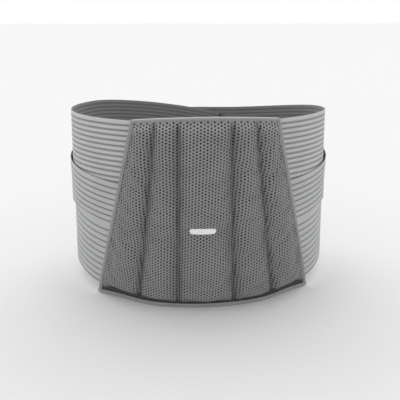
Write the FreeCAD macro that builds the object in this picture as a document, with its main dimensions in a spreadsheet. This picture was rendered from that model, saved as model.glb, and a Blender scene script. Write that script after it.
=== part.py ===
import FreeCAD, Part
import os

# Lumbar support belt, closed as it is worn. Millimetres, +Z up, the back pad faces -Y.
# The origin is on the axis of the loop, level with the pad's lower edge.
#
# The belt is an upright elliptic cone, a little wider at the bottom. Every layer of cloth is a
# shell of that cone: it lies between two offsets from the outer face of the upper elastic,
# and positive offsets are outward. A layer is then trimmed to its outline.
# The two wings part at the bend lines at Y = 0. Behind them the right wing runs a little
# outside the loop and the left wing a little inside, so that their ends overlap at the closure.

DIMENSIONS = [
    ("pad_height", 230, "back pad, lower edge to upper edge"),
    ("top_half_width", 168, "loop at the pad's upper edge, outer face of the upper elastic"),
    ("top_half_depth", 125, "the same, front to back"),
    ("low_half_width", 175, "loop at the pad's lower edge"),
    ("low_half_depth", 130, "the same, front to back"),
    ("pad_top_reach", 84.5, "half width of the pad at the top, measured straight across"),
    ("pad_low_reach", 136, "half width of the pad at the bottom"),
    ("tape_cover", 9, "width of the binding tape on each face"),
    ("tape_thick", 0.6, "binding tape"),
    ("cloth_gap", 0.2, "clearance between stacked layers"),
    ("elastic_thick", 1.4, "each ribbed elastic"),
    ("lining_thick", 0.8, "lining on the wearer's side"),
    ("foam_thick", 4, "foam"),
    ("mesh_thick", 0.8, "air-mesh cover"),
    ("foam_face", 2.6, "offset of the foam's inner face"),
    ("lap", 12, "how far the elastics run in under the pad"),
    ("bend_gap", 0.4, "clearance between the fixed and the swinging halves"),
    ("upper_low_edge", 110, "upper elastic, lower edge"),
    ("upper_top_edge", 228, "upper elastic, upper edge"),
    ("upper_low_end", 89, "upper elastic's lower edge at the closure"),
    ("upper_top_lead", 240, "where the closure slope of its upper edge would meet the bend line"),
    ("upper_top_end", 208, "upper elastic's upper edge at the closure"),
    ("lower_low_seam", 10, "lower elastic's lower edge, carried on to the front of the loop"),
    ("lower_low_bend", 26, "lower elastic's lower edge at the bend line"),
    ("lower_low_end", 54, "lower elastic's lower edge at the closure"),
    ("lower_top_seam", 150, "lower elastic's upper edge, carried on to the front of the loop"),
    ("lower_top_bend", 170, "lower elastic's upper edge at the bend line"),
    ("lower_top_end", 200, "lower elastic's upper edge at the closure"),
    ("wing_spread", 4, "how far each wing leaves the loop at the closure, outward or inward"),
    ("left_end", 43, "X of the left wing's end"),
    ("right_end", -11, "X of the seam between the right wing and its tab"),
    ("tab_end", -63, "X of the tab's free end"),
    ("panel_root", 62, "how far from the middle the end panels start"),
    ("panel_thick", 1, "end panels, loop patch and hook strip"),
    ("patch_margin", 6, "end panel's margin round the patches"),
    ("stay_wide", 12, "stay"),
    ("stay_thick", 1.2, "stay"),
    ("stay_low", 14, "height of a stay's lower end"),
    ("stay_high", 216, "height of a stay's upper end"),
    ("stay_face", -0.15, "offset of a stay's inner face"),
    ("tip_wall", 0.6, "moulded tip on each end of a stay"),
    ("tip_tall", 12, "moulded tip"),
    ("tip_room", 0.05, "clearance of the moulded tips in the sleeve"),
    ("casing_wide", 18, "sleeve round a stay"),
    ("casing_wall", 0.6, "sleeve"),
    ("inner_stay_top", 31, "X of the inner stays at the top"),
    ("inner_stay_low", 33, "X of the inner stays at the bottom"),
    ("outer_stay_top", 62, "X of the outer stays at the top"),
    ("outer_stay_low", 84, "X of the outer stays at the bottom"),
    ("badge_wide", 30, "badge"),
    ("badge_tall", 7, "badge"),
    ("badge_side", -5, "X of the badge's middle"),
    ("badge_middle", 101, "height of the badge's middle"),
    ("badge_thick", 0.4, "badge"),
    ("seam_wide", 20, "tape over the elastics' ends"),
    ("reach", 220, "cutting blocks reach this far from the axis"),
]

doc = FreeCAD.newDocument("LumbarSupportBelt")
sheet = doc.addObject("Spreadsheet::Sheet", "Sizes")
for row, (alias, value, note) in enumerate(DIMENSIONS, start=1):
    sheet.set("A%d" % row, note)
    sheet.set("B%d" % row, str(value))
    sheet.setAlias("B%d" % row, alias)
doc.recompute()

ALIASES = sorted((alias for alias, value, note in DIMENSIONS), key=len, reverse=True)
BODIES = {}


def cell(expression):
    """The expression, with each alias in it read from the sheet."""
    words = []
    for word in expression.replace("(", " ( ").replace(")", " ) ").split():
        words.append("Sizes." + word if word in ALIASES else word)
    return " ".join(words)


def bind(thing, **sizes):
    for name, expression in sizes.items():
        thing.setExpression(name.replace("__", "."), cell(str(expression)))
    return thing


def make(kind, name):
    return doc.addObject(kind, name)


def common(name, *shapes):
    thing = make("Part::MultiCommon", name)
    thing.Shapes = list(shapes)
    return thing


def fuse(name, *shapes):
    thing = make("Part::MultiFuse", name)
    thing.Shapes = list(shapes)
    return thing


def cut(name, base, tool):
    thing = make("Part::Cut", name)
    thing.Base, thing.Tool = base, tool
    return thing


def piece(label, shape):
    """Names a finished sub-part: the label is its file's name."""
    shape.Label = label
    BODIES[label] = shape
    return shape


# ---- the loop's shells -------------------------------------------------------------------

def cone(offset, spread="0"):
    """The whole loop as a solid, out to the offset. The spread changes its depth only."""
    rims = []
    for level, wide, deep in (
        ("0", "low_half_width", "low_half_depth"),
        ("pad_height", "top_half_width", "top_half_depth"),
    ):
        rim = make("Part::Ellipse", "Rim")
        bind(
            rim,
            MajorRadius="%s + ( %s )" % (wide, offset),
            MinorRadius="%s + ( %s ) + ( %s )" % (deep, offset, spread),
            Placement__Base__z=level,
        )
        rims.append(rim)
    body = make("Part::Loft", "Cone")
    body.Sections = rims
    body.Solid = True
    body.Ruled = True
    return body


def shell(inner, outer, spread="0"):
    return cut("Shell", cone(outer, spread), cone(inner, spread))


# ---- the cutting blocks ------------------------------------------------------------------

def front_block(low_left, low_right, top_left, top_right, low="0", top="pad_height"):
    """A block in front of the axis whose sides lean: its outline is seen along Y."""
    block = make("Part::Wedge", "FrontBlock")
    bind(
        block,
        Xmin=low_left, Xmax=low_right, X2min=top_left, X2max=top_right,
        Ymin=low, Ymax=top, Zmin="0", Zmax="reach", Z2min="0", Z2max="reach",
    )
    # The wedge's own Y stands up, and its own Z points towards -Y.
    block.Placement.Rotation = FreeCAD.Rotation(FreeCAD.Vector(1, 0, 0), 90)
    return block


def slope_block(near, far, near_low, near_top, far_low, far_top):
    """A block right across the loop whose upper and lower faces slope from near to far in Y."""
    block = make("Part::Wedge", "SlopeBlock")
    # The wedge's own X stands up, and its own Z points to -X.
    bind(
        block,
        Xmin=near_low, Xmax=near_top, X2min=far_low, X2max=far_top,
        Ymin=near, Ymax=far, Zmin="0", Zmax="2 * reach", Z2min="0", Z2max="2 * reach",
        Placement__Base__x="reach",
    )
    block.Placement.Rotation = FreeCAD.Rotation(FreeCAD.Vector(0, 1, 0), -90)
    return block


def box(x_low, x_high, y_low, y_high, z_low="0", z_high="pad_height"):
    block = make("Part::Box", "Block")
    bind(
        block,
        Length="( %s ) - ( %s )" % (x_high, x_low),
        Width="( %s ) - ( %s )" % (y_high, y_low),
        Height="( %s ) - ( %s )" % (z_high, z_low),
        Placement__Base__x=x_low, Placement__Base__y=y_low, Placement__Base__z=z_low,
    )
    return block


def pad_block(inset, ends=None):
    """The pad's outline, drawn in at the sides by the inset and at the top and bottom by ends."""
    ends = ends or inset
    low, top = "pad_low_reach - ( %s )" % inset, "pad_top_reach - ( %s )" % inset
    return front_block(
        "0 - ( %s )" % low, low, "0 - ( %s )" % top, top,
        ends, "pad_height - ( %s )" % ends,
    )


# ---- back pad ----------------------------------------------------------------------------

EDGE = "tape_thick + cloth_gap"
MESH_FACE = "foam_face + foam_thick + cloth_gap"
PAD_FACE = MESH_FACE + " + mesh_thick"
LINING_FACE = "0 - elastic_thick - cloth_gap - lining_thick"


def back_pad():
    piece("back_foam_pad", common(
        "Foam", shell("foam_face", "foam_face + foam_thick"), pad_block(EDGE)))
    piece("back_cover_mesh", common("Mesh", shell(MESH_FACE, PAD_FACE), pad_block(EDGE)))
    piece("back_lining", common(
        "Lining", shell(LINING_FACE, LINING_FACE + " + lining_thick"), pad_block(EDGE)))
    piece("badge", common(
        "Badge",
        shell(PAD_FACE + " + cloth_gap", PAD_FACE + " + cloth_gap + badge_thick"),
        box("badge_side - badge_wide / 2", "badge_side + badge_wide / 2", "0 - reach", "0",
            "badge_middle - badge_tall / 2", "badge_middle + badge_tall / 2")))


def folded_tape(inner, outer, core):
    """Tape folded over the pad's edge: a rim of the pad's outline, hollow where the pad goes."""
    rim = cut("Rim", common("Edge", shell(inner, outer), pad_block("0")), pad_block("tape_cover"))
    return cut("Fold", rim, core)


def bindings():
    outer = PAD_FACE + " + cloth_gap + tape_thick"
    outer_core = PAD_FACE + " + cloth_gap"
    deep_inner = LINING_FACE + " - cloth_gap - tape_thick"
    ends = common(
        "EndCore",
        shell(deep_inner + " + tape_thick", outer_core),
        box("0 - reach", "reach", "0 - reach", "0", "tape_thick", "pad_height - tape_thick"))
    end_tape = folded_tape(deep_inner, outer, ends)
    high = "pad_height - tape_cover"
    piece("top_binding", common(
        "TopTape", end_tape, box("0 - reach", "reach", "0 - reach", "0", high, "pad_height")))
    piece("bottom_binding", common(
        "BottomTape", end_tape, box("0 - reach", "reach", "0 - reach", "0", "0", "tape_cover")))
    # The side tapes fold round the foam and mesh only, because the elastics come out under them.
    side_inner = "foam_face - cloth_gap - tape_thick"
    sides = common(
        "SideCore", shell("foam_face - cloth_gap", outer_core), pad_block("tape_thick"))
    side_tape = folded_tape(side_inner, outer, sides)
    low, high = "tape_cover + cloth_gap", "pad_height - tape_cover - cloth_gap"
    piece("left_binding", common(
        "LeftTape", side_tape, box("0 - reach", "0", "0 - reach", "0", low, high)))
    piece("right_binding", common(
        "RightTape", side_tape, box("0", "reach", "0 - reach", "0", low, high)))


def leaning_layer(inner, outer, low_x, top_x, wide, low, high):
    """A layer as wide as a stay or its sleeve, leaning from one X at the bottom to another on top."""
    half = "( %s ) / 2" % wide
    strip = front_block(
        "%s - %s" % (low_x, half), "%s + %s" % (low_x, half),
        "%s - %s" % (top_x, half), "%s + %s" % (top_x, half))
    return common(
        "Leaning", shell(inner, outer), strip, box("0 - reach", "reach", "0 - reach", "0", low, high))


def stays():
    back = "stay_face - tip_wall"
    front = "stay_face + stay_thick + tip_wall"
    tip_wide = "stay_wide + 2 * tip_wall"
    tips = []
    for label, side, place in (
        ("left_outer", "0 -", "outer"), ("left_inner", "0 -", "inner"),
        ("right_inner", "0 +", "inner"), ("right_outer", "0 +", "outer"),
    ):
        lean = ("%s %s_stay_low" % (side, place), "%s %s_stay_top" % (side, place))
        stay = piece(label + "_stay", leaning_layer(
            "stay_face", "stay_face + stay_thick", *lean, "stay_wide", "stay_low", "stay_high"))
        for low, high in (
            ("stay_low - tip_wall", "stay_low + tip_tall"),
            ("stay_high - tip_tall", "stay_high + tip_wall"),
        ):
            cap = leaning_layer(back, front, *lean, tip_wide, low, high)
            tips.append(cut("Cap", cap, stay))
        sleeve = leaning_layer(
            back + " - casing_wall", front + " + casing_wall", *lean,
            "casing_wide", "stay_low - 2 * tip_wall - casing_wall",
            "stay_high + 2 * tip_wall + casing_wall")
        room = leaning_layer(
            back + " - tip_room", front + " + tip_room", *lean, tip_wide + " + 2 * tip_room",
            "stay_low - 2 * tip_wall", "stay_high + 2 * tip_wall")
        piece(label + "_casing", cut("Casing", sleeve, room))
    piece("stay_tips", fuse("Tips", *tips))


def seam_tapes():
    outer = LINING_FACE + " - cloth_gap"
    layer = shell(outer + " - tape_thick", outer)
    rim = common("SeamRim", layer, cut("SeamEdge", pad_block("0"), pad_block("seam_wide")))
    low, high = "seam_wide", "pad_height - seam_wide"
    piece("left_seam_tape", common(
        "LeftSeam", rim, box("0 - reach", "0", "0 - reach", "0", low, high)))
    piece("right_seam_tape", common(
        "RightSeam", rim, box("0", "reach", "0 - reach", "0", low, high)))


# ---- elastics ----------------------------------------------------------------------------

UPPER = ("0 - elastic_thick", "0")
LOWER = ("cloth_gap", "cloth_gap + elastic_thick")


def front_elastics():
    """The elastics from under the pad's side edges to the bend lines."""
    front, bend = "0 - low_half_depth", "0 - bend_gap / 2"
    bands = (
        ("upper", UPPER, "upper_low_edge", "upper_top_edge", "upper_low_edge", "upper_top_edge"),
        ("lower", LOWER, "lower_low_seam", "lower_top_seam", "lower_low_bend", "lower_top_bend"),
    )
    for band, layer, low, top, bend_low, bend_top in bands:
        slope = slope_block(front, bend, low, top, bend_low, bend_top)
        for name, x_low, x_high in (("left", "0 - reach", "0"), ("right", "0", "reach")):
            strip = common(
                "FrontBand", shell(*layer), slope, box(x_low, x_high, "0 - reach", "0"))
            label = "%s_%s_elastic_front" % (band, name)
            piece(label, cut("FrontElastic", strip, pad_block("lap", "0")))


SPREAD = {"left": "0 - wing_spread", "right": "wing_spread"}


def rear_elastics():
    """The elastics from the bend lines to the wings' ends."""
    near, far = "bend_gap / 2", "low_half_depth + 2 * wing_spread"
    bands = (
        ("upper", UPPER, "upper_low_edge", "upper_top_lead", "upper_low_end", "upper_top_end",
         "upper_top_edge"),
        ("lower", LOWER, "lower_low_bend", "lower_top_bend", "lower_low_end", "lower_top_end",
         "pad_height"),
    )
    for band, layer, low, top, end_low, end_top, limit in bands:
        slope = slope_block(near, far, low, top, end_low, end_top)
        for name, x_low, x_high in (
            ("left", "0 - reach", "left_end - tape_thick"),
            ("right", "right_end + bend_gap / 2", "reach"),
        ):
            piece("%s_%s_elastic_rear" % (band, name), common(
                "RearBand", shell(layer[0], layer[1], SPREAD[name]), slope,
                box(x_low, x_high, near, "reach", "0", limit)))


# ---- closure -----------------------------------------------------------------------------

def rear_layer(label, wing, inner, thick, x_low, x_high, margin):
    """A flat piece of the closure: a layer between two X values, inside the band's height."""
    outline = box(
        x_low, x_high, "0", "reach", "lower_low_end + %s" % margin, "upper_top_end - %s" % margin)
    return piece(label, common(
        "Layer", shell(inner, "%s + %s" % (inner, thick), SPREAD[wing]), outline))


def closure():
    panel = "elastic_thick + 2 * cloth_gap"
    patch = panel + " + panel_thick + cloth_gap"
    left_stop = "left_end - tape_thick - cloth_gap"
    rear_layer("left_end_panel", "left", panel, "panel_thick", "0 - panel_root", left_stop, "0")
    rear_layer(
        "loop_patch", "left", patch, "panel_thick",
        "0 - panel_root + patch_margin", "left_end - tape_cover - patch_margin", "patch_margin")
    end_inner, end_outer = "0 - elastic_thick - cloth_gap - tape_thick", patch + " + tape_thick"
    fold = common(
        "EndTape", shell(end_inner, end_outer, SPREAD["left"]),
        box("left_end - tape_cover", "left_end", "0", "reach", "lower_low_end", "upper_top_end"))
    core = common(
        "EndCore", shell(end_inner + " + tape_thick", patch, SPREAD["left"]),
        box("0", "left_end - tape_thick", "0", "reach"))
    piece("left_end_binding", cut("EndFold", fold, core))

    wing_stop, tab_start = "right_end + bend_gap / 2", "right_end - bend_gap / 2"
    rear_layer("right_end_panel", "right", panel, "panel_thick", wing_stop, "panel_root", "0")
    backing = "0 - elastic_thick"
    rear_layer(
        "tab_backing", "right", backing, "elastic_thick", "tab_end + tape_thick + cloth_gap", tab_start,
        "patch_margin")
    rear_layer(
        "hook_strip", "right", backing + " - cloth_gap - panel_thick", "panel_thick",
        "tab_end + tape_cover + patch_margin", "right_end - patch_margin", "2 * patch_margin")


def tab_binding():
    fold = common(
        "TabTape",
        shell("0 - elastic_thick - cloth_gap - tape_thick", "cloth_gap + tape_thick", SPREAD["right"]),
        box("tab_end", "tab_end + tape_cover", "0", "reach",
            "lower_low_end + patch_margin", "upper_top_end - patch_margin"))
    core = common(
        "TabCore", shell("0 - elastic_thick - cloth_gap", "cloth_gap", SPREAD["right"]),
        box("tab_end + tape_thick", "0", "0", "reach"))
    piece("tab_binding", cut("TabFold", fold, core))


back_pad()
bindings()
stays()
seam_tapes()
front_elastics()
rear_elastics()
closure()
tab_binding()
doc.recompute()

faults = [
    "%s: %s" % (thing.Label, state)
    for thing in doc.Objects for state in thing.State if state in ("Invalid", "Error")
]
for label, thing in BODIES.items():
    if thing.Shape.isNull() or not thing.Shape.isValid() or not thing.Shape.Solids:
        faults.append(label + ": no valid solid")
if faults:
    raise RuntimeError("\n".join(faults))

os.makedirs("parts", exist_ok=True)
for label, thing in sorted(BODIES.items()):
    thing.Shape.exportStep("parts/%s.step" % label)
    bounds = thing.Shape.BoundBox
    print("%-28s %d solid, %8.0f mm3, X %.1f %.1f Y %.1f %.1f Z %.1f %.1f" % (
        label, len(thing.Shape.Solids), thing.Shape.Volume,
        bounds.XMin, bounds.XMax, bounds.YMin, bounds.YMax, bounds.ZMin, bounds.ZMax))
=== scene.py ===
import math

import bmesh
import bpy
import numpy as np
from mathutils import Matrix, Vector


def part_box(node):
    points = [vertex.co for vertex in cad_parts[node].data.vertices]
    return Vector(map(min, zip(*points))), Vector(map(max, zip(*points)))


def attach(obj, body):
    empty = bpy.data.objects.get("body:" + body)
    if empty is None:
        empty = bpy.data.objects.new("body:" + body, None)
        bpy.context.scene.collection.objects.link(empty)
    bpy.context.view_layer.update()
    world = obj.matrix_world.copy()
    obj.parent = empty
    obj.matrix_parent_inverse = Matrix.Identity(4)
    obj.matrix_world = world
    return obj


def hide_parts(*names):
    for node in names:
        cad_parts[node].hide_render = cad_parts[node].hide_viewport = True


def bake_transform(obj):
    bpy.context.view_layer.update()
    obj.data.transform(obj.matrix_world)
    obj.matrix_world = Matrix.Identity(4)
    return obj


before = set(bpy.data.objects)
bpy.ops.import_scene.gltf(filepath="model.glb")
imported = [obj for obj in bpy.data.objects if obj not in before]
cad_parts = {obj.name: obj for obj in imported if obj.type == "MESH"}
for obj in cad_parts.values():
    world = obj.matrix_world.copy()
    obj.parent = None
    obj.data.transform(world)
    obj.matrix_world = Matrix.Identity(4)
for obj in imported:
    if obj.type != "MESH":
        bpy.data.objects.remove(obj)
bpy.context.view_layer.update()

MM = 0.001
LOW, HIGH = 0, 1

# ---- the loop, read from the frame ---------------------------------------------------------
# The belt is an upright elliptic cone. A place on it is an angle round from the middle of the
# pad (positive to +X), a height, and an offset out from the upper elastic's outer face.

TAPE_OUT = 8.4 * MM      # offset of the binding tape's outer face
ELASTIC_OUT = 1.6 * MM   # offset of the lower elastic's outer face


def edge(node, end, axis):
    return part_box(node)[end][axis]


PAD_TALL = edge("top_binding", HIGH, 2)
DEEP_LOW = -edge("bottom_binding", LOW, 1) - TAPE_OUT
DEEP_RATE = (-edge("top_binding", LOW, 1) - TAPE_OUT - DEEP_LOW) / edge("top_binding", LOW, 2)
WIDE_UPPER = edge("upper_right_elastic_front", HIGH, 0)
Z_WIDE = edge("upper_right_elastic_front", LOW, 2)
Z_LOWER = edge("lower_right_elastic_rear", LOW, 2)
WIDE_LOWER = edge("lower_right_elastic_rear", HIGH, 0) - ELASTIC_OUT
WIDE_RATE = (WIDE_UPPER - WIDE_LOWER) / (Z_WIDE - Z_LOWER)
SPREAD = (edge("lower_right_elastic_rear", HIGH, 1) - edge("lower_left_elastic_rear", HIGH, 1)) / 2
PAD_LOW_REACH = edge("bottom_binding", HIGH, 0)
# The top tape's lower edge is the wider one, because the pad's sides lean.
PAD_TOP_REACH = PAD_LOW_REACH - (PAD_LOW_REACH - edge("top_binding", HIGH, 0)) * (
    PAD_TALL / edge("top_binding", LOW, 2))
LEFT_END = edge("left_end_binding", HIGH, 0)
TAB_START = edge("tab_backing", HIGH, 0)
TAB_END = edge("tab_binding", LOW, 0)


def half_wide(z):
    return WIDE_LOWER + WIDE_RATE * (z - Z_LOWER)


def half_deep(z):
    return DEEP_LOW + DEEP_RATE * z


def hem_pull(t, z):
    """The pad's lower corners are pulled in a little between the outer stays and the sides."""
    across = np.abs(half_wide(z) * np.sin(t)) / PAD_LOW_REACH
    beside = np.exp(-((across - 0.8) / 0.2) ** 2) * (np.cos(t) > 0)
    return 5.5 * MM * beside * np.clip(1 - z / (38 * MM), 0, 1) ** 2


def place(t, z, out, wing=0):
    """The point at angle t, height z and offset out. A wing runs beside the loop at the back."""
    t, z, out = np.broadcast_arrays(t, z, out)
    out = out - hem_pull(t, z)
    behind = np.cos(t) < 0
    wide = half_wide(z) + out
    deep = half_deep(z) + out + np.where(behind, wing * SPREAD, 0.0)
    return np.stack([wide * np.sin(t), -deep * np.cos(t), z], axis=-1)


def _arc_table():
    t = np.linspace(0, math.radians(220), 2201)
    mid = place(t, PAD_TALL / 2, 0.0)
    steps = np.linalg.norm(np.diff(mid, axis=0), axis=1)
    return t, np.concatenate([[0], np.cumsum(steps)])


ANGLES, ARCS = _arc_table()


def angle_at(arc):
    """The angle whose distance round the loop at mid-height is arc, either way from the middle."""
    return np.sign(arc) * np.interp(np.abs(arc), ARCS, ANGLES)


def arc_at(t):
    return np.sign(t) * np.interp(np.abs(t), ANGLES, ARCS)


def arc_of_x(x, z):
    """The distance round the front to the point that is x across, at height z."""
    return arc_at(np.arcsin(np.clip(x / half_wide(z), -1, 1)))


def lean(low, top, z):
    return low + (top - low) * z / PAD_TALL


def smooth(x):
    x = np.clip(x, 0, 1)
    return x * x * (3 - 2 * x)


# ---- materials -----------------------------------------------------------------------------

class Nodes:
    """Adds nodes to a node tree. A value given to one is a number or another node's output."""

    def __init__(self, tree):
        self.tree = tree

    def node(self, kind, **settings):
        made = self.tree.nodes.new("ShaderNode" + kind)
        for key, value in settings.items():
            setattr(made, key, value)
        return made

    def join(self, value, socket):
        if isinstance(value, bpy.types.NodeSocket):
            self.tree.links.new(value, socket)
        else:
            socket.default_value = value

    def sum(self, operation, *values):
        made = self.node("Math", operation=operation)
        for value, socket in zip(values, made.inputs):
            self.join(value, socket)
        return made.outputs[0]

    def range(self, value, low, high, start=0.0, end=1.0, curve="LINEAR"):
        made = self.node("MapRange", interpolation_type=curve)
        for number, socket in zip((value, start, end, low, high), made.inputs):
            self.join(number, socket)
        return made.outputs[0]


class Look(Nodes):
    """Builds one node material. Lengths in its patterns are millimetres of cloth."""

    def __init__(self, name):
        self.material = bpy.data.materials.new(name)
        self.material.use_nodes = True
        super().__init__(self.material.node_tree)
        self.shader = self.tree.nodes["Principled BSDF"]

    def mix(self, share, first, second):
        made = self.node("Mix", data_type="RGBA")
        self.join(share, made.inputs[0])
        for value, socket in ((first, made.inputs[6]), (second, made.inputs[7])):
            self.join(value if isinstance(value, bpy.types.NodeSocket) else (*value, 1), socket)
        return made.outputs[2]

    def cloth_axes(self):
        """Distances along and across the cloth, from its own layout."""
        layout = self.node("UVMap", uv_map="Cloth")
        parts = self.node("SeparateXYZ")
        self.join(layout.outputs[0], parts.inputs[0])
        return (self.sum("MULTIPLY", parts.outputs[0], 1000.0),
                self.sum("MULTIPLY", parts.outputs[1], 1000.0))

    def stitches(self, along, across, stitch, course):
        """Interlocked loops: bumps a stitch apart, moved half a stitch in every other course."""
        row = self.sum("FLOOR", self.sum("DIVIDE", across, course))
        shift = self.sum("MULTIPLY", self.sum("MODULO", row, 2.0), math.pi)
        turn = self.sum("ADD", self.sum("MULTIPLY", along, 2 * math.pi / stitch), shift)
        bump = self.sum("MULTIPLY_ADD", self.sum("SINE", turn), 0.5, 0.5)
        ridge = self.sum("ABSOLUTE", self.sum("SINE", self.sum("MULTIPLY", across, math.pi / course)))
        return self.sum("MULTIPLY", bump, ridge)

    def ribs(self, across, pitch):
        turn = self.sum("MULTIPLY", across, 2 * math.pi / pitch)
        return self.sum("MULTIPLY_ADD", self.sum("SINE", turn), 0.5, 0.5)

    def cloud(self, size, detail=3.0, rough=0.55):
        """Slow change over the object, in blots about size millimetres across."""
        where = self.node("TexCoord")
        noise = self.node("TexNoise")
        self.join(where.outputs["Object"], noise.inputs["Vector"])
        self.join(1000.0 / size, noise.inputs["Scale"])
        self.join(detail, noise.inputs["Detail"])
        self.join(rough, noise.inputs["Roughness"])
        return noise.outputs["Fac"]

    def attribute(self, name):
        return self.node("Attribute", attribute_name=name).outputs["Fac"]

    def shade(self, colour, factor):
        """The colour made lighter or darker by a factor about 1."""
        made = self.node("VectorMath", operation="SCALE")
        self.join(colour, made.inputs[0])
        self.join(factor, made.inputs["Scale"])
        return made.outputs[0]

    def bump(self, height, distance, strength=1.0, under=None):
        made = self.node("Bump")
        self.join(height, made.inputs["Height"])
        self.join(distance, made.inputs["Distance"])
        self.join(strength, made.inputs["Strength"])
        if under is not None:
            self.join(under, made.inputs["Normal"])
        return made.outputs[0]

    def finish(self, colour, roughness, normal=None, sheen=0.0, sheen_rough=0.5, specular=0.35):
        self.join(colour, self.shader.inputs["Base Color"])
        self.join(roughness, self.shader.inputs["Roughness"])
        self.shader.inputs["Specular IOR Level"].default_value = specular
        self.shader.inputs["Sheen Weight"].default_value = sheen
        self.shader.inputs["Sheen Roughness"].default_value = sheen_rough
        if normal is not None:
            self.join(normal, self.shader.inputs["Normal"])
        return self.material


def grey(value, warm=0.0):
    """A near-neutral colour, very slightly cool."""
    return (value * (1 - 0.012 + warm), value, value * (1 + 0.018 - warm))


def elastic_look(name, band, groove, roughness=0.62):
    """Ribbed woven elastic: pale raised bands, grooves darkened with painted shade, and fine picks across
    the bands.
    """
    look = Look(name)
    along, across = look.cloth_axes()
    picks = look.stitches(along, across, 0.9, 0.62)
    fibre = look.cloud(0.35, 2.0, 0.7)
    relief_and_painted_light = look.attribute("relief_and_painted_light")
    # The groove colour is painted shade in the grooves, on top of their shallow real relief.
    colour = look.mix(relief_and_painted_light, grey(groove), grey(band))
    colour = look.shade(colour, look.range(picks, 0.90, 1.05))
    colour = look.shade(colour, look.range(fibre, 0.90, 1.10, 0.3, 0.7))
    colour = look.shade(colour, look.range(look.cloud(38.0), 0.965, 1.035, 0.35, 0.65))
    normal = look.bump(picks, 0.00016, 0.7, look.bump(fibre, 0.00012, 0.5))
    return look.finish(colour, look.range(picks, roughness, roughness + 0.15), normal, 0.25, 0.45)


def knit_look(
        name, value, stitch, course, depth=0.00014, contrast=0.16, sheen=0.2, rough=0.75, painted_shade_colour=None):
    """A plain knitted or woven cloth in one shade, or mixed per point towards a darker colour that is
    painted shade.
    """
    look = Look(name)
    along, across = look.cloth_axes()
    loops = look.stitches(along, across, stitch, course)
    fibre = look.cloud(0.4, 2.0, 0.7)
    # The darker colour is painted shade, mixed in by the per-point attribute.
    colour = look.mix(look.attribute("relief_and_painted_light"), grey(painted_shade_colour), grey(value)) if painted_shade_colour else grey(value)
    colour = look.shade(colour, look.range(loops, 1 - contrast, 1 + contrast * 0.6))
    colour = look.shade(colour, look.range(fibre, 0.88, 1.12, 0.3, 0.7))
    colour = look.shade(colour, look.range(look.cloud(30.0), 0.95, 1.05, 0.35, 0.65))
    normal = look.bump(loops, depth, 0.8, look.bump(fibre, 0.0001, 0.5))
    return look.finish(colour, look.range(loops, rough + 0.12, rough), normal, sheen)


def thread_look(name, value):
    """Twisted sewing thread."""
    look = Look(name)
    along, across = look.cloth_axes()
    twist = look.ribs(look.sum("ADD", along, across), 0.45)
    colour = look.shade(grey(value), look.range(twist, 0.78, 1.12))
    return look.finish(colour, 0.6, look.bump(twist, 0.00006), 0.2)


def foam_look():
    """Open-celled foam, seen dark through the holes of the mesh."""
    look = Look("foam")
    cells = look.node("TexVoronoi", feature="DISTANCE_TO_EDGE")
    look.join(look.node("TexCoord").outputs["Object"], cells.inputs["Vector"])
    look.join(1600.0, cells.inputs["Scale"])
    colour = look.mix(look.range(cells.outputs[0], 0, 1, 0.0, 0.4), grey(0.045), grey(0.018))
    return look.finish(colour, 0.95, look.bump(cells.outputs[0], 0.0003))


def pile_look(name, value, size):
    """Brushed loop pile."""
    look = Look(name)
    loops = look.cloud(size, 4.0, 0.75)
    coarse = look.cloud(size * 5, 2.0)
    colour = look.shade(grey(value), look.range(loops, 0.6, 1.4, 0.3, 0.7))
    colour = look.shade(colour, look.range(coarse, 0.88, 1.12, 0.35, 0.65))
    return look.finish(colour, 0.95, look.bump(loops, 0.0006, 1.0, look.bump(coarse, 0.0008)), 0.6)


def print_look():
    """Matt heat-pressed print, with the cloth's texture showing through it."""
    look = Look("badge_print")
    along, across = look.cloth_axes()
    weave = look.stitches(along, across, 0.8, 0.7)
    fine = look.cloud(2.0, 4.0)
    colour = look.shade(grey(0.86), look.range(fine, 0.94, 1.03, 0.3, 0.7))
    return look.finish(colour, look.range(fine, 0.42, 0.6), look.bump(weave, 0.00008, 0.6))


def steel_look():
    """Satin spring steel, drawn lengthwise."""
    look = Look("stay_steel")
    stretched = look.node("Mapping")
    look.join(look.node("TexCoord").outputs["Object"], stretched.inputs["Vector"])
    stretched.inputs["Scale"].default_value = (1.0, 1.0, 0.02)
    drawn = look.node("TexNoise")
    look.join(stretched.outputs[0], drawn.inputs["Vector"])
    look.join(2500.0, drawn.inputs["Scale"])
    colour = look.mix(drawn.outputs["Fac"], (0.42, 0.42, 0.44), (0.62, 0.62, 0.64))
    look.shader.inputs["Metallic"].default_value = 1.0
    roughness = look.range(drawn.outputs["Fac"], 0.25, 0.5)
    return look.finish(colour, roughness, look.bump(drawn.outputs["Fac"], 0.00002))


def plastic_look(name, value):
    look = Look(name)
    grain = look.cloud(0.6, 3.0)
    colour = look.shade(grey(value), look.range(grain, 0.92, 1.08, 0.3, 0.7))
    return look.finish(colour, look.range(grain, 0.4, 0.6), look.bump(grain, 0.00005))


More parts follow.
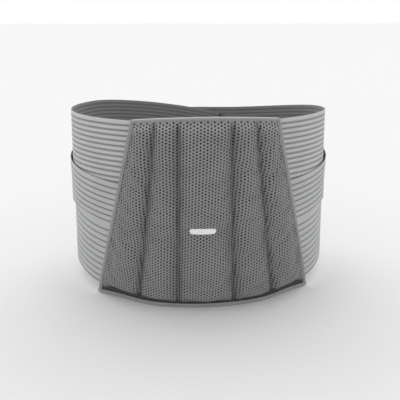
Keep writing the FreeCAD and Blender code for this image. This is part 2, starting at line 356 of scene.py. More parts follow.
LOOKS = {
    # Each elastic's second value is its groove colour: painted shade in the grooves.
    "band": elastic_look("elastic_outer", 0.53, 0.175),
    "band_inside": elastic_look("elastic_inner", 0.29, 0.16, 0.75),
    # The lower elastic's outer face is the upper one's material made darker: painted shade.
    "low_band": elastic_look("lower_elastic_outer", 0.48, 0.155),
    # Its nearly black groove colour is painted shade where the upper elastic covers this inner side.
    "low_band_inside": elastic_look("lower_elastic_inner", 0.29, 0.035, 0.8),
    # The mesh's second, darker colour is painted shade by the hem, in the seams and beside the side tapes.
    "mesh": knit_look("air_mesh", 0.365, 0.82, 0.55, 0.00016, 0.2, painted_shade_colour=0.05),
    "tape": knit_look("binding_tape", 0.33, 0.7, 0.5, 0.00012, 0.14, 0.25),
    "end_tape": knit_look("end_tape", 0.08, 0.7, 0.5, 0.00012, 0.14, 0.25),
    "lining": knit_look("lining_cloth", 0.085, 1.1, 0.8, 0.0002, 0.25, 0.5, 0.85),
    "panel": knit_look("panel_cloth", 0.19, 0.9, 0.6, 0.00014, 0.16),
    "casing": knit_look("casing_tape", 0.14, 0.9, 0.6),
    "thread": thread_look("thread", 0.17),
    "foam": foam_look(),
    "loop": pile_look("loop_pile", 0.10, 0.7),
    "print": print_look(),
    "steel": steel_look(),
    "tip": plastic_look("tip_plastic", 0.7),
    "hook": plastic_look("hook_plastic", 0.07),
}


# ---- meshes --------------------------------------------------------------------------------

def build(name, points, faces, looks, layout=None, relief_and_painted_light=None, face_looks=None):
    """A smooth mesh object from numpy points and faces, with its cloth layout and relief."""
    mesh = bpy.data.meshes.new(name)
    mesh.from_pydata(np.asarray(points).tolist(), [], [list(face) for face in faces])
    for look in looks:
        mesh.materials.append(LOOKS[look])
    mesh.polygons.foreach_set("use_smooth", np.ones(len(mesh.polygons), bool))
    if face_looks is not None:
        mesh.polygons.foreach_set("material_index", np.asarray(face_looks, np.int32))
    if layout is not None:
        corners = np.empty(len(mesh.loops), np.int32)
        mesh.loops.foreach_get("vertex_index", corners)
        uv = mesh.uv_layers.new(name="Cloth")
        uv.data.foreach_set("uv", np.asarray(layout, np.float32)[corners].ravel())
    if relief_and_painted_light is not None:
        made = mesh.attributes.new("relief_and_painted_light", "FLOAT", "POINT")
        made.data.foreach_set("value", np.asarray(relief_and_painted_light, np.float32))
    mesh.update()
    piece = bpy.data.objects.new(name, mesh)
    bpy.context.scene.collection.objects.link(piece)
    return piece


def grid_faces(rows, columns, start=0, closed=False):
    """Quads over a grid of points, row by row. A closed grid joins its last column to the first."""
    index = start + np.arange(rows * columns).reshape(rows, columns)
    if closed:
        index = np.concatenate([index, index[:, :1]], axis=1)
    return np.stack(
        [index[:-1, :-1], index[:-1, 1:], index[1:, 1:], index[1:, :-1]], axis=-1).reshape(-1, 4)


def grid_rim(rows, columns):
    """The points round the edge of a grid in order, and the point after each."""
    index = np.arange(rows * columns).reshape(rows, columns)
    rim = np.concatenate([index[0, :-1], index[:-1, -1], index[-1, :0:-1], index[:0:-1, 0]])
    return rim, np.roll(rim, -1)


def slab(name, outer, inner, looks, layout, relief_and_painted_light=None):
    """A closed thin slab between two grids of points. looks: the outer face's, then the inner's."""
    rows, columns = outer.shape[:2]
    count = rows * columns
    front = grid_faces(rows, columns)
    rim, after = grid_rim(rows, columns)
    wall = np.stack([after, rim, rim + count, after + count], axis=1)
    faces = np.concatenate([front, front[:, ::-1] + count, wall])
    face_looks = np.concatenate([
        np.zeros(len(front)), np.full(len(front), len(looks) - 1), np.zeros(len(wall))])
    points = np.concatenate([outer.reshape(-1, 3), inner.reshape(-1, 3)])
    layouts = np.concatenate([layout.reshape(-1, 2)] * 2)
    return build(name, points, faces, looks, layouts, relief_and_painted_light, face_looks)


# ---- elastics ------------------------------------------------------------------------------

LAP = 7.0 * MM               # each elastic runs in under the pad by this much
FRONT_TOP = edge("upper_left_elastic_front", HIGH, 2)
UPPER_TALL, LOWER_TALL = 118.5 * MM, 141.5 * MM
LOWER_TOP = 167.5 * MM       # height of the lower elastic's upper edge at the loop's sides
LOWER_RISE = 20 * MM         # the lower elastic climbs this much to the sides, and again behind


def upper_top(t, side):
    """The upper elastic's upper edge: level in front, then down to the closure."""
    turn = np.degrees(np.abs(t))
    if side < 0:
        return FRONT_TOP - 29 * MM * np.clip((turn - 120) / 75, 0, None) ** 1.55
    return FRONT_TOP - 2.8 * MM * smooth((turn - 60) / 35) - 18.0 * MM * smooth((turn - 85) / 84)


def lower_top(t, side):
    """The lower elastic's upper edge climbs all the way round to the closure."""
    back = np.clip(-np.cos(t), 0, None)
    return LOWER_TOP - LOWER_RISE * np.cos(t) + 10 * MM * back ** 1.5


def grooves(distance, lines, width, soft):
    """1 on a band and 0 in a groove, for the distance from the elastic's upper edge."""
    nearest = np.min(np.abs(distance[..., None] - np.asarray(lines)), axis=-1)
    return smooth((nearest - width / 2 + soft / 2) / soft)


def rib_lines(first, pitch, count, flat, second, more):
    """Grooves at a pitch, a flat band, then more grooves at a second pitch."""
    upper = first + pitch * np.arange(count)
    return np.concatenate([upper, upper[-1] + flat + second * np.arange(more)])


UPPER_LINES = rib_lines(6.0 * MM, 6.25 * MM, 10, 6.9 * MM, 6.25 * MM, 10)
LOWER_LINES = rib_lines(7.3 * MM, 7.3 * MM, 7, 12.4 * MM, 8.4 * MM, 10)
INNER_PITCH = 5.2 * MM
ELASTIC_THICK = 1.2 * MM


def past(beyond, z):
    """Distance round a wing to a point this far beyond the middle of the belly."""
    return arc_at(math.pi + np.arcsin(beyond / half_wide(z)))


def elastic(name, side, upper):
    """One ribbed elastic, from under the pad's side to its wing's end."""
    tall = UPPER_TALL if upper else LOWER_TALL
    top = upper_top if upper else lower_top
    lines, width, soft = UPPER_LINES, 2.4 * MM, 2.6 * MM
    if not upper:
        lines, width, soft = LOWER_LINES, 1.9 * MM, 1.8 * MM
    rows, columns = int(tall / (0.75 * MM)), 118
    share = np.linspace(0, 1, columns)[None, :]
    down = np.linspace(0, tall, rows)[:, None]
    stop = LEFT_END - 0.8 * MM if side < 0 else -TAB_START - 0.2 * MM
    z = np.full((rows, columns), PAD_TALL / 2)
    for _ in range(6):
        reach = lean(PAD_LOW_REACH, PAD_TOP_REACH, z) - LAP
        start = arc_of_x(reach, z)
        end = past(stop, z)
        t = angle_at(start + (end - start) * share)
        z = np.clip(top(t, side) - down, 0, PAD_TALL)
    ribs = grooves(down + 0 * t, lines, width, soft)
    lip = smooth(np.minimum(down, tall - down) / (0.9 * MM)) + 0 * t
    turn = np.degrees(t)
    if upper:
        outer = 0.35 * MM * (ribs - 1)
    else:
        # It stands off the upper one at the sides, and drops in below that one's lower edge.
        free, step = (1.9, 1.9) if side > 0 else (0.9, 2.9)
        beside = np.exp(-((turn - 98) / 36) ** 2)
        over = smooth((z - (upper_top(t, side) - UPPER_TALL) + 6.5 * MM) / (6 * MM))
        drop = smooth((turn - 45) / 25) * (1 - smooth((turn - 150) / 25))
        stand = beside * (0.7 + free * smooth((z - 0.13) / 0.04))
        outer = ELASTIC_OUT + MM * (stand * over - step * drop * (1 - over)) + 0.28 * MM * (ribs - 1)
    inner_ribs = 0.5 - 0.5 * np.cos(2 * math.pi * (down + 0 * t) / INNER_PITCH)
    inner = outer - ELASTIC_THICK * (0.35 + 0.65 * lip) + 0.3 * MM * (1 - ribs)
    inner = inner - 0.28 * MM * inner_ribs * lip
    outer = outer - 0.35 * MM * (1 - lip)
    layout = np.stack([arc_at(t), down + 0 * t], axis=-1)
    if upper:
        woven = inner_ribs
    else:
        # Its inner side gets painted shade where the upper elastic covers it.
        woven = (0.55 + 0.45 * inner_ribs) * (1 - over)
    relief_and_painted_light = np.concatenate([ribs.ravel(), woven.ravel()])
    piece = slab(
        name, place(side * t, z, outer, side), place(side * t, z, inner, side),
        ["band", "band_inside"] if upper else ["low_band", "low_band_inside"], layout, relief_and_painted_light)
    if side < 0:
        piece.data.flip_normals()
    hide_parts(name + "_front", name + "_rear")
    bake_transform(piece)


# ---- back pad ------------------------------------------------------------------------------

SIDE_BAND = 4.6 * MM        # binding tape's width on the pad's face, at its sides
TOP_BAND = 3.6 * MM         # the same, along its upper edge
LOW_BAND = 4.4 * MM         # the same, along its lower edge
FACE_LOW = 3.4 * MM         # offset of the cover under the tape
PUFF = 11.0 * MM            # how far the fullest channel swells above that
SEAM_RISE = 3.2 * MM        # the sewn seams lie this far above the edge
SEAM_PINCH = 3.6 * MM       # and the thread draws them in this much more
MESH_THICK = 0.35 * MM
SEAMS = [(-81.5, -57.0), (-34.0, -31.5), (32.5, 27.5), (82.0, 55.0)]  # X in mm, low then top
PANEL_STEPS = (12, 12, 18, 12, 12)


def pad_side(z):
    """Distance round the pad from its middle to its side edge, at height z."""
    return arc_of_x(lean(PAD_LOW_REACH, PAD_TOP_REACH, z), z)


def line_at(line, z):
    """Distance round the pad to a slanted line, given by its X in mm at the bottom and the top."""
    return arc_of_x(lean(*line, z) * MM, z)


def clear_of_ends(z, low, high, soft):
    """1 over most of the pad's height, falling to 0 towards low and high, over a height of soft."""
    return smooth((z - low) / soft) * smooth((PAD_TALL - high - z) / soft)


def seam_lines(z):
    """Distances round the pad at height z: its edge, the tape, each seam, the tape, its edge."""
    side = pad_side(z)
    lines = [-side, -side + SIDE_BAND] + [line_at(seam, z) for seam in SEAMS]
    return np.stack(lines + [side - SIDE_BAND, side], axis=-1)


def on_pad(s, z, out):
    """A point of the pad. Its upper edge is cut to a slight curve, and so is its hem."""
    s, z, out = np.broadcast_arrays(s, z, out)
    share = np.abs(s) / pad_side(np.clip(z, 0, PAD_TALL))
    high = np.clip(z / PAD_TALL, 0, 1)
    crown = (4.6 * (1 - share ** 2) - 1.2) * high ** 3
    hem = (0.4 + 1.6 * np.exp(-((share - 0.8) / 0.2) ** 2)) * (1 - high) ** 6
    return place(angle_at(s), z + MM * (crown + hem), out)


def pad_grid():
    """Rows of heights and, for each, distances round the pad, with the seams on grid lines."""
    heights = np.concatenate([
        [0], np.linspace(LOW_BAND, PAD_TALL - TOP_BAND, 66), [PAD_TALL]])
    lines = seam_lines(heights)
    columns, pinned = [], []
    steps = (1,) + PANEL_STEPS + (1,)
    for number, count in enumerate(steps):
        share = np.linspace(0, 1, count + 1)[:-1]
        columns.append(lines[:, number, None] * (1 - share) + lines[:, number + 1, None] * share)
        pinned += [True] + [False] * (count - 1)
    columns.append(lines[:, -1:])
    pinned.append(True)
    return heights, np.concatenate(columns, axis=1), np.array(pinned)


def swell(points, faces, pins):
    """Cloth simulation of a closed shape under pressure, with some of its points held."""
    mesh = bpy.data.meshes.new("swelling")
    mesh.from_pydata(points.tolist(), [], faces.tolist())
    shape = bpy.data.objects.new("swelling", mesh)
    bpy.context.scene.collection.objects.link(shape)
    group = shape.vertex_groups.new(name="pins")
    group.add(pins.tolist(), 1.0, "REPLACE")
    cloth = shape.modifiers.new("Cloth", "CLOTH")
    made = cloth.settings
    made.quality = 6
    made.mass = 0.3
    made.tension_stiffness = made.compression_stiffness = 12
    made.shear_stiffness = 6
    made.bending_stiffness = 0.25
    made.vertex_group_mass = "pins"
    made.use_pressure = True
    made.uniform_pressure_force = 4.0
    made.shrink_min = -0.025
    made.effector_weights.gravity = 0
    cloth.point_cache.frame_start, cloth.point_cache.frame_end = 1, 20
    scene = bpy.context.scene
    for number in range(1, 21):
        scene.frame_set(number)
    seen = shape.evaluated_get(bpy.context.evaluated_depsgraph_get()).to_mesh()
    result = np.empty(len(seen.vertices) * 3)
    seen.vertices.foreach_get("co", result)
    result = result.reshape(-1, 3)
    scene.frame_set(1)
    bpy.data.objects.remove(shape)
    bpy.data.meshes.remove(mesh)
    return result


def between_seams(level, columns, seam):
    """The level of the pinned columns carried straight across the panels between them."""
    flat = np.empty_like(level)
    for row in range(len(level)):
        flat[row] = np.interp(columns[row], columns[row, seam], level[row, seam])
    return flat


def quilted_heights():
    """How far the cover stands above its edge, over the pad's grid."""
    heights, columns, seam = pad_grid()
    rows, count = columns.shape
    held = np.zeros((rows, count), bool)
    held[:, seam] = True
    held[:2] = held[-2:] = True
    run_in = smooth((heights - LOW_BAND) / (16 * MM)) * smooth(
        (PAD_TALL - TOP_BAND - heights) / (12 * MM))
    level = np.zeros((rows, count))
    level[:, np.flatnonzero(seam)[2:-2]] = SEAM_RISE * run_in[:, None]
    flat = between_seams(level, columns, seam)
    start = np.where(held, level, flat + 1.5 * MM)
    front = np.stack([columns, start, np.broadcast_to(heights[:, None], columns.shape)], -1)
    back = front.copy()
    back[..., 1] = -3.0 * MM
    points, faces = pillow(front, back)
    total = rows * count
    pins = np.concatenate([np.flatnonzero(held.ravel()), total + np.arange(total)])
    grown = swell(points, faces, pins)[:total, 1].reshape(rows, count)
    grown = np.where(held, level, grown)
    most = np.percentile(grown - flat, 97)
    return heights, columns, flat + (grown - flat) * (PUFF - SEAM_RISE) / most


def pillow(front, back):
    """Points and faces of the closed shape between two grids, front towards positive Y."""
    rows, columns = front.shape[:2]
    total = rows * columns
    rim, after = grid_rim(rows, columns)
    quads = grid_faces(rows, columns)
    faces = np.concatenate([
        quads[:, ::-1], quads + total, np.stack([rim, after, after + total, rim + total], axis=1)])
    return np.concatenate([front.reshape(-1, 3), back.reshape(-1, 3)]), faces


def finer(values, times):
    """Values along the first axis with a smooth curve carried through them."""
    ends = [2 * values[:1] - values[1:2], values, 2 * values[-1:] - values[-2:-1]]
    v = np.concatenate(ends)
    made = []
    for step in range(times):
        x = step / times
        made.append(
            v[1:-2] + 0.5 * x * (v[2:-1] - v[:-3] + x * (
                2 * v[:-3] - 5 * v[1:-2] + 4 * v[2:-1] - v[3:]
                + x * (3 * (v[1:-2] - v[2:-1]) + v[3:] - v[:-3]))))
    mixed = np.stack(made, axis=1).reshape((-1,) + values.shape[1:])
    return np.concatenate([mixed, values[-1:]])


def turned_in(heights):
    """The channels' ends drawn closer to the hem and the upper edge, so that they turn in sharply."""
    before = [-LOW_BAND, 0, 0.8 * MM, 3 * MM, 6 * MM, 10 * MM, 18 * MM, 40 * MM, 1]
    after = [-LOW_BAND, 0, 1.6 * MM, 2.4 * MM, 3.4 * MM, 5.4 * MM, 13.5 * MM, 40 * MM, 1]
    low = np.interp(heights - LOW_BAND, before, after)
    high = np.clip(PAD_TALL - TOP_BAND - heights, 0, None)
    return LOW_BAND + low + 0.75 * high * np.exp(-high / (11 * MM))


def hem_gap(arc):
    """The cover stays in by the hem for this height: least in the middle, most past the outer seams."""
    share = np.abs(arc) / PAD_LOW_REACH
    return MM * (1.8 + 4.2 * smooth((share - 0.4) / 0.22) - 1.2 * smooth((share - 0.85) / 0.15))


FINER = 3
HEIGHTS, COLUMNS, QUILT = quilted_heights()
HEIGHTS = turned_in(finer(HEIGHTS, FINER))
COLUMNS = finer(finer(COLUMNS, FINER).T, FINER).T
QUILT = np.clip(finer(finer(QUILT, FINER).T, FINER).T, 0, None)


def cover_out(arc, z):
    """The cover's offset at a distance round the pad and a height, read from the quilt."""
    arc, z = np.broadcast_arrays(np.asarray(arc, float), np.asarray(z, float))
    lifted = z - hem_gap(arc) * smooth((z - LOW_BAND) / (0.5 * MM)) * np.exp(-np.clip(z, 0, 1) / (16 * MM))
    row = np.clip(np.interp(lifted, HEIGHTS, np.arange(len(HEIGHTS))), 0, len(HEIGHTS) - 1.001)
    first = row.astype(int)
    value = np.zeros(arc.shape)
    for near, weight in ((first, 1 - (row - first)), (first + 1, row - first)):
        for level in np.unique(near):
            here = near == level
            value[here] += weight[here] * np.interp(arc[here], COLUMNS[level], QUILT[level])
    return FACE_LOW + np.maximum(value - SEAM_PINCH * near_seam(arc, z, 4.6 * MM), 0)


def near_seam(arc, z, reach):
    """1 on a sewn seam, falling to 0 to both sides of it and towards the pad's ends."""
    away = np.min(np.abs(seam_lines(z)[..., 2:-2] - arc[..., None]), axis=-1)
    return np.exp(-(away / reach) ** 1.5) * clear_of_ends(z, LOW_BAND, TOP_BAND, 8 * MM)


def painted_mesh_light(arc, z):
    """Painted shade and light on the mesh: 0, painted shade, where it is folded in by the hem; painted
    shade in the seams and beside the side tapes; a painted highlight over the upper ends.
    """
    upper = LOW_BAND + 1.2 * MM + hem_gap(arc)
    folded = 1 - smooth((z - upper) / (4.5 * MM))
    beside = smooth((pad_side(z) - SIDE_BAND - np.abs(arc)) / (2.5 * MM))
    # Painted highlight: the mesh is made paler over the channels' upper ends.
    stretched = 0.77 + 0.23 * np.exp(-((PAD_TALL - 9 * MM - z) / (7 * MM)) ** 2)
    # Painted shade in the seams and beside the side tapes.
    return (1 - folded) * stretched * (1 - 0.42 * near_seam(arc, z, 5.5 * MM)) * (0.55 + 0.45 * beside)


def foam_pad():
    """The foam inside the pad, a little under the cover."""
    inset = np.linspace(1, -1, COLUMNS.shape[1]) * 0.8 * MM
    arcs = COLUMNS + inset[None, :]
    z = np.clip(np.broadcast_to(HEIGHTS[:, None], arcs.shape), 0.8 * MM, PAD_TALL - 0.8 * MM)
    front = on_pad(arcs, z, cover_out(arcs, z) - MESH_THICK - 0.15 * MM)
    back = on_pad(arcs, z, 1.75 * MM)
    piece = slab("pad_foam", front[:, ::-1], back[:, ::-1], ["foam"], np.stack([arcs, z], -1)[:, ::-1])
    bind_piece(piece, "back_foam_pad")


COLUMN_GAP = 3.46 * MM       # between columns of holes
HOLE_GAP = 3.55 * MM         # from hole to hole in a column
HOLE = 1.18 * MM             # radius of a hole


def hole_grid():
    """Six-sided cells round staggered holes: each cell's corners, its hole's rim, and its middle.

    The cells' corners lie on two lines between each pair of columns, a near and a far one.
    """
    half = HOLE_GAP / 2
    near = (COLUMN_GAP ** 2 - half ** 2) / (2 * COLUMN_GAP)
    reach = int(0.185 / COLUMN_GAP)
    column, row = np.meshgrid(
        np.arange(-reach, reach + 1), np.arange(-1, int(PAD_TALL / HOLE_GAP) + 2), indexing="ij")
    column, row = column.ravel(), row.ravel()
    middle = 2 * row + column % 2                     # its height in half gaps
    lines = 2 * column[:, None] + np.array([1, 0, -1, -2, -1, 0])
    levels = middle[:, None] + np.array([0, 1, 1, 0, -1, -1])
    corner_x = lines // 2 * COLUMN_GAP + np.where(lines % 2 == 0, near, COLUMN_GAP - near)
    turn = np.arange(6) * math.pi / 3
    rim_x = column[:, None] * COLUMN_GAP + HOLE * np.cos(turn)
    rim_z = middle[:, None] * half + HOLE * np.sin(turn)
    keys = np.stack([lines, levels], axis=-1)
    return keys, (corner_x, levels * half), (rim_x, rim_z), (column * COLUMN_GAP, middle * half)


def grain(x, z):
    """The mesh's grain leans a little, and it is stretched sideways towards the top."""
    return x * (1 + 0.87 * (z - PAD_TALL / 2)) + 0.04 * (z - PAD_TALL / 2)


def mesh_cover():
    """The perforated mesh: real holes in staggered columns, fitted to the pad's outline."""
    keys, corner, rim, middle = hole_grid()
    middle_s = grain(*middle)
    side = pad_side(np.clip(middle[1], 0, PAD_TALL))
    used = (np.abs(middle_s) < side + COLUMN_GAP) & (middle[1] < PAD_TALL + HOLE_GAP)
    pierced = (np.abs(middle_s) < side - 3.2 * MM) & (middle[1] > 3.0 * MM) & (
        middle[1] < PAD_TALL - 3.0 * MM)
    pierced = pierced[used]
    keys, corner = keys[used], [values[used] for values in corner]
    rim = [values[used] for values in rim]
    shared, first, place_of = np.unique(
        keys.reshape(-1, 2), axis=0, return_index=True, return_inverse=True)
    place_of = place_of.reshape(-1, 6)
    x = np.concatenate([corner[0].ravel()[first], rim[0].ravel()])
    inset = 0.5 * MM
    z = np.clip(np.concatenate([corner[1].ravel()[first], rim[1].ravel()]), inset, PAD_TALL - inset)
    limit = pad_side(z) - inset
    s = np.clip(grain(x, z), -limit, limit)
    ring = len(shared) + np.arange(rim[0].size).reshape(-1, 6)
    after, ring_after = np.roll(place_of, -1, axis=1), np.roll(ring, -1, axis=1)
    faces = np.stack([place_of, after, ring_after, ring], axis=-1).reshape(-1, 4).tolist()
    faces += ring[~pierced].tolist()
    out = cover_out(s, z)
    # The holes' rims are drawn in a little, as in a knitted mesh.
    out[len(shared):] -= 0.16 * MM
    piece = build(
        "mesh_cover", on_pad(s, z, out), faces, ["mesh"], np.stack([s, z], axis=1), painted_mesh_light(s, z))
    mesh = piece.data
    shape = bmesh.new()
    shape.from_mesh(mesh)
    bmesh.ops.remove_doubles(shape, verts=shape.verts, dist=0.02 * MM)
    bmesh.ops.dissolve_degenerate(shape, edges=shape.edges, dist=0.02 * MM)
    loose = [v for v in shape.verts if not v.link_faces]
    bmesh.ops.delete(shape, geom=loose, context="VERTS")
    for face in shape.faces:
        face.smooth = True
    shape.to_mesh(mesh)
    shape.free()
    thicken(piece, MESH_THICK)
    bind_piece(piece, "back_cover_mesh")


def thicken(piece, depth):
    """Gives an open sheet its thickness on the inner side, with walls in its holes."""
    solid = piece.modifiers.new("Thickness", "SOLIDIFY")
    solid.thickness = depth
    solid.offset = -1
    view = bpy.context.evaluated_depsgraph_get()
    made = bpy.data.meshes.new_from_object(piece.evaluated_get(view))
    piece.modifiers.clear()
    old = piece.data
    piece.data = made
    bpy.data.meshes.remove(old)
    made.name = piece.name


# ---- binding tape and stitching ------------------------------------------------------------

def sweep(name, rings, looks, layout):
    """A closed tube through rings of points: rings is (count, points, 3)."""
    count, size = rings.shape[:2]
    faces = grid_faces(count, size, closed=True).tolist()
    faces += [list(range(size)), list(range((count - 1) * size, count * size))[::-1]]
    return outward(build(name, rings.reshape(-1, 3), faces, looks, layout.reshape(-1, 2)))


def outward(piece):
    """Turns every face of a closed shape to face out of it."""
    shape = bmesh.new()
    shape.from_mesh(piece.data)
    bmesh.ops.recalc_face_normals(shape, faces=shape.faces)
    shape.to_mesh(piece.data)
    shape.free()
    return piece


TAPE_THICK = 0.6 * MM


def fold_section(band, inner_out):
    """The folded tape's section: (distance in from the edge, offset, whether it rests on the cover).

    It goes over the outer leg, round the edge and back along the inner leg at inner_out.
    """
    crown = [(1.0, 0.15), (0.93, 0.55), (0.76, 0.82), (0.56, 0.60), (0.36, 0.86), (0.16, 0.80)]
    outer = [(into * band, rise * MM, True) for into, rise in crown]
    outer += [(-0.1 * MM, 0.3 * MM, True), (-0.5 * MM, -1.0 * MM, True),
              (-0.45 * MM, inner_out + 0.4 * MM, False),
              (0.2 * MM, inner_out - TAPE_THICK, False), (band, inner_out - TAPE_THICK, False)]
    inner = [(band, inner_out, False), (0.5 * MM, inner_out, False), (0.3 * MM, -0.6 * MM, True),
             (0.7 * MM, 0.04 * MM, True), (band, 0.04 * MM, True)]
    return outer + inner


def side_tape(name, side):
    z = np.linspace(0.6 * MM, PAD_TALL - 0.6 * MM, 150)
    limit = pad_side(z)
    rings, layout = [], []
    for into, out, on_cover in fold_section(SIDE_BAND, 2.25 * MM):
        s = side * (limit - into)
        base = cover_out(side * (limit - max(into, 0)), z) if on_cover else 0
        rings.append(on_pad(s, z, base + out))
        layout.append(np.stack([z, np.full_like(z, into * (1 if on_cover else -1))], -1))
    return sweep(name, np.stack(rings, 1), ["tape"], np.stack(layout, 1))


def end_tape(name, top):
    edge_z = PAD_TALL if top else 0.0
    limit = float(pad_side(edge_z)) - 0.4 * MM
    s = np.linspace(-limit, limit, 140)
    rings, layout = [], []
    for into, out, on_cover in fold_section(TOP_BAND if top else LOW_BAND, -2.5 * MM):
        z = edge_z - into if top else edge_z + into
        lift = 0.3 * MM                      # it laps over the side tapes' ends
        base = cover_out(s, np.clip(z, 0, PAD_TALL)) + lift if on_cover else 0
        rings.append(on_pad(s, z, base + out))
        layout.append(np.stack([s, np.full_like(s, into * (1 if on_cover else -1))], -1))
    return sweep(name, np.stack(rings, 1), ["tape"], np.stack(layout, 1))


def bind_piece(piece, node, body="back_panel"):
    """Hides the CAD node that a piece stands for and attaches the piece to the body it rides on."""
    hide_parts(node)
    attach(piece, body)
    return piece


def stitch_run(path, normals, pitch=3.2 * MM, long=2.5 * MM, fat=0.34 * MM):
    """Points and faces of one row of stitches along a path lying on a surface."""
    steps = np.linalg.norm(np.diff(path, axis=0), axis=1)
    run = np.concatenate([[0], np.cumsum(steps)])
    at = np.arange(pitch / 2, run[-1], pitch)
    def along(values, where):
        return np.stack([np.interp(where, run, values[:, k]) for k in range(3)], -1)
    points, faces = [], []
    ring = np.arange(6) * math.pi / 3
    profile = [
        (-0.5, 0.15, -0.5), (-0.3, 0.85, 0.2), (0.0, 1.0, 0.55), (0.3, 0.85, 0.2), (0.5, 0.15, -0.5)]
    for place_ in at:
        middle = along(path, np.array([place_]))[0]
        ahead = along(path, np.array([min(place_ + 0.5 * MM, run[-1])]))[0]
        behind = along(path, np.array([max(place_ - 0.5 * MM, 0)]))[0]
        up = along(normals, np.array([place_]))[0]
        up /= np.linalg.norm(up)
        forward = (ahead - behind) / np.linalg.norm(ahead - behind)
        across = np.cross(up, forward)
        start = len(points) * 6
        for shift, wide, lift in profile:
            centre = middle + forward * shift * long + up * lift * fat
            points.append(centre + fat * wide * (
                np.cos(ring)[:, None] * across + 0.75 * np.sin(ring)[:, None] * up))
        count = len(profile)
        faces += grid_faces(count, 6, start, closed=True).tolist()
        last = start + 6 * count
        faces += [list(range(start, start + 6)), list(range(last - 6, last))[::-1]]
    return np.concatenate(points), faces


def stitching(name, runs, body, slot, **sizes):
    """One piece with every row of stitches of a part of the belt."""
    points, faces, total = [], [], 0
    for path, normals in runs:
        made, quads = stitch_run(path, normals, **sizes)
        faces += [[index + total for index in face] for face in quads]
        points.append(made)
        total += len(made)
    points = np.concatenate(points)
    layout = points[:, :2] + points[:, 2:]
    piece = outward(build(name, points, faces, ["thread"], layout))
    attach(piece, body)
    return piece


def cover_path(s, z, rise):
    """A path on the cover, and which way is out of it."""
    s, z = np.broadcast_arrays(np.asarray(s, float), np.asarray(z, float))
    out = cover_out(s, z) + rise
    return on_pad(s, z, out), on_pad(s, z, out + 5 * MM) - on_pad(s, z, out)


def pad_stitching():
    """The rows that hold the tape, and those down the pad's seams."""
    z = np.linspace(LOW_BAND, PAD_TALL - TOP_BAND, 120)
    side = pad_side(z) - 0.56 * SIDE_BAND
    runs = [cover_path(side, z, 0.62 * MM), cover_path(-side, z, 0.62 * MM)]
    for level in (0.56 * LOW_BAND, PAD_TALL - 0.56 * TOP_BAND):
        limit = float(pad_side(level)) - 2 * MM
        s = np.linspace(-limit, limit, 160)
        runs.append(cover_path(s, np.full_like(s, level), 0.92 * MM))
    for seam in SEAMS:
        runs.append(cover_path(line_at(seam, z), z, 0.1 * MM))
    return stitching("pad_stitching", runs, "back_panel", "binding_tape")


def badge():
    """A plain rounded bar pressed on to the mesh."""
    low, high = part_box("badge")
    rows, columns = 9, 40
    middle_x, middle_z = (low[0] + high[0]) / 2, (low[2] + high[2]) / 2
    wide, tall = (high[0] - low[0]) / 2, (high[2] - low[2]) / 2
    u = np.linspace(-1, 1, columns)[None, :]
    v = np.linspace(1, -1, rows)[:, None]
    # Rounded ends: the bar narrows over its last stretch.
    end = np.clip((np.abs(u) * wide - (wide - tall)) / tall, 0, 1)
    z = middle_z + v * tall * np.sqrt(np.clip(1 - end ** 2, 0.02, 1))
    x = middle_x + u * wide + 0 * v
    s = arc_of_x(x, z)
    # It is stiffer than the mesh: it bridges the small dips instead of following them.
    cover = cover_out(s, z)
    bow = np.polynomial.Polynomial.fit(u[0], cover.mean(axis=0), 2)(u)
    out = bow + (cover - bow).max(axis=0).mean() + 0 * z
    edge_drop = 0.12 * MM * (np.maximum(np.abs(u) ** 12, np.abs(v) ** 12))
    piece = slab(
        "plain_badge", on_pad(s, z, out + 0.28 * MM - edge_drop)[:, ::-1],
        on_pad(s, z, out + 0.02 * MM)[:, ::-1], ["print"], np.stack([s, z], -1)[:, ::-1])
    return bind_piece(piece, "badge")


# ---- wearer's side of the pad --------------------------------------------------------------

STAYS = [(-84.0, -62.0), (-33.0, -31.0), (33.0, 31.0), (84.0, 62.0)]  # X in mm, low then top
LINING_THICK = 0.8 * MM
SEWN_BESIDE = 11.0 * MM      # the lining is sewn down this far to each side of a stay


def lining_out(s, z):
    """Offset of the lining's outer face: pushed in by the stays' sleeves, sewn down beside them."""
    out = -1.6 * MM + 0.06 * MM * np.sin(s / (9 * MM) + z / (31 * MM)) * np.sin(z / (17 * MM))
    along = clear_of_ends(z, 9 * MM, 9 * MM, 5 * MM)
    for stay in STAYS:
        away = np.abs(s - line_at(stay, z))
        out = out - 0.7 * MM * np.exp(-(away / (8.7 * MM)) ** 6) * along
        out = out + 0.35 * MM * np.exp(-((away - SEWN_BESIDE) / (1.5 * MM)) ** 2) * along
    return out


def lining():
    z = np.linspace(PAD_TALL - 0.7 * MM, 0.7 * MM, 150)[:, None]
    limit = pad_side(z) - 0.7 * MM
    s = limit * np.linspace(-1, 1, 260)[None, :]
    out = lining_out(s, z)
    z = z + 0 * s
    piece = outward(slab(
        "inner_lining", on_pad(s, z, out), on_pad(s, z, out - LINING_THICK), ["lining"],
        np.stack([s, z], -1)))
    return bind_piece(piece, "back_lining")


def lining_path(s, z, rise):
    """A path on the wearer's side of the lining, and which way is out of it."""
    s, z = np.broadcast_arrays(s, z)
    out = lining_out(s, z) - LINING_THICK - rise
    return on_pad(s, z, out), on_pad(s, z, out - 5 * MM) - on_pad(s, z, out)


def seam_tape(name, side):
    """The flat tape that covers an elastics' seam, on the wearer's side."""
    z = np.linspace(edge(name, HIGH, 2), edge(name, LOW, 2), 120)[:, None]
    start = pad_side(z) - 20 * MM
    s = side * (start + 19.2 * MM * np.linspace(0, 1, 24)[None, :])
    z = z + 0 * s
    face = lining_out(s, z) - LINING_THICK - 0.1 * MM
    across = np.abs(np.linspace(-1, 1, 24))[None, :]
    rounded = 0.25 * MM * smooth((across - 0.9) / 0.1)
    sewn = 0.18 * MM * np.exp(-((across - 0.76) / 0.06) ** 2)
    piece = outward(slab(
        name + "_cloth", on_pad(s, z, face), on_pad(s, z, face - 0.6 * MM + rounded + sewn), ["tape"],
        np.stack([z, s], -1)))
    return bind_piece(piece, name)


